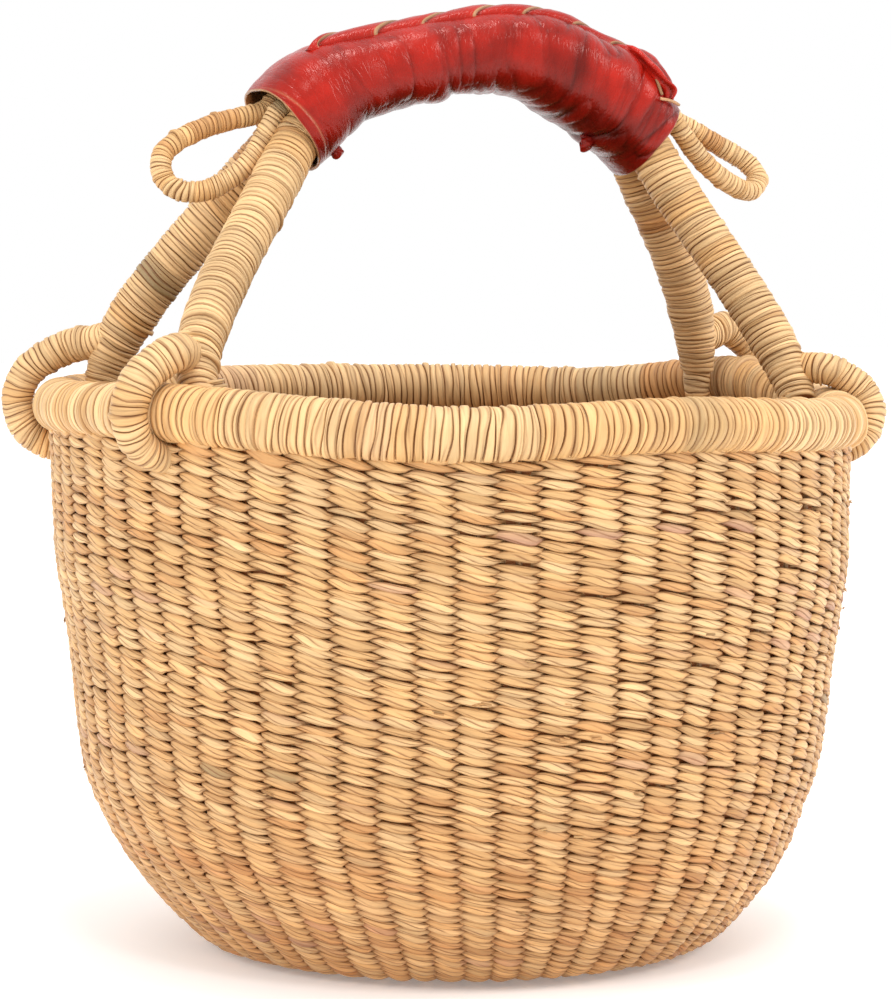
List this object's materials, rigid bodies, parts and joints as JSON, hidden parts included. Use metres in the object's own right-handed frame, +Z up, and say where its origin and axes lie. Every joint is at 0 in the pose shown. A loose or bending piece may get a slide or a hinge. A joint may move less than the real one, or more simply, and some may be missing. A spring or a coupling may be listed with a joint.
{
  "type": "bolga basket",
  "caption": "Round twined straw market basket with a bound rim, a stiff arched carrying handle in a laced red leather sleeve and small hanging loops.",
  "frame": {"origin": "middle of the flat underside of the base, on the basket's axis", "axes": "+Z up along the basket's axis, X along the handle, from its left end at -X to its right end at +X, -Y towards the viewer"},
  "size_m": [0.2707, 0.266, 0.3042],
  "materials": {
    "woven_straw": "dry twined straw, matt",
    "bound_straw": "dry straw wound tight, slight sheen",
    "grass_core": "raw grass stems, matt",
    "red_leather": "glossy dyed leather, creased"
  },
  "bodies": {
    "basket": {"weave_outer_face": "woven_straw", "weave_inner_face": "woven_straw", "base_start": "grass_core", "stake_pair_01": "grass_core", "stake_pair_02": "grass_core", "stake_pair_03": "grass_core", "stake_pair_04": "grass_core", "stake_pair_05": "grass_core", "stake_pair_06": "grass_core", "stake_pair_07": "grass_core", "stake_pair_08": "grass_core", "stake_pair_09": "grass_core", "stake_pair_10": "grass_core", "stake_pair_11": "grass_core", "stake_pair_12": "grass_core", "stake_pair_13": "grass_core", "stake_pair_14": "grass_core", "stake_pair_15": "grass_core", "stake_pair_16": "grass_core", "stake_pair_17": "grass_core", "stake_pair_18": "grass_core", "stake_pair_19": "grass_core", "stake_pair_20": "grass_core", "stake_pair_21": "grass_core", "stake_pair_22": "grass_core", "stake_pair_23": "grass_core", "stake_pair_24": "grass_core", "stake_pair_25": "grass_core", "stake_pair_26": "grass_core", "stake_pair_27": "grass_core", "stake_pair_28": "grass_core", "stake_pair_29": "grass_core", "stake_pair_30": "grass_core", "stake_pair_31": "grass_core", "stake_pair_32": "grass_core", "rim_core": "grass_core", "rim_binding": "bound_straw"},
    "handle": {"front_arch": "bound_straw", "back_arch": "bound_straw", "grip_binding": "woven_straw", "left_hanging_loop": "bound_straw", "right_hanging_loop": "bound_straw", "grip_leather": "red_leather", "grip_lace": "red_leather", "left_lace_knot": "red_leather", "right_lace_knot": "red_leather"}
  },
  "joints": [
    {"name": "handle_rock", "type": "hinge", "parent": "basket", "child": "handle", "pos_m": [0, 0, 0.1731], "axis": [1, 0, 0], "range_deg": [-1.5, 1.5]}
  ]
}
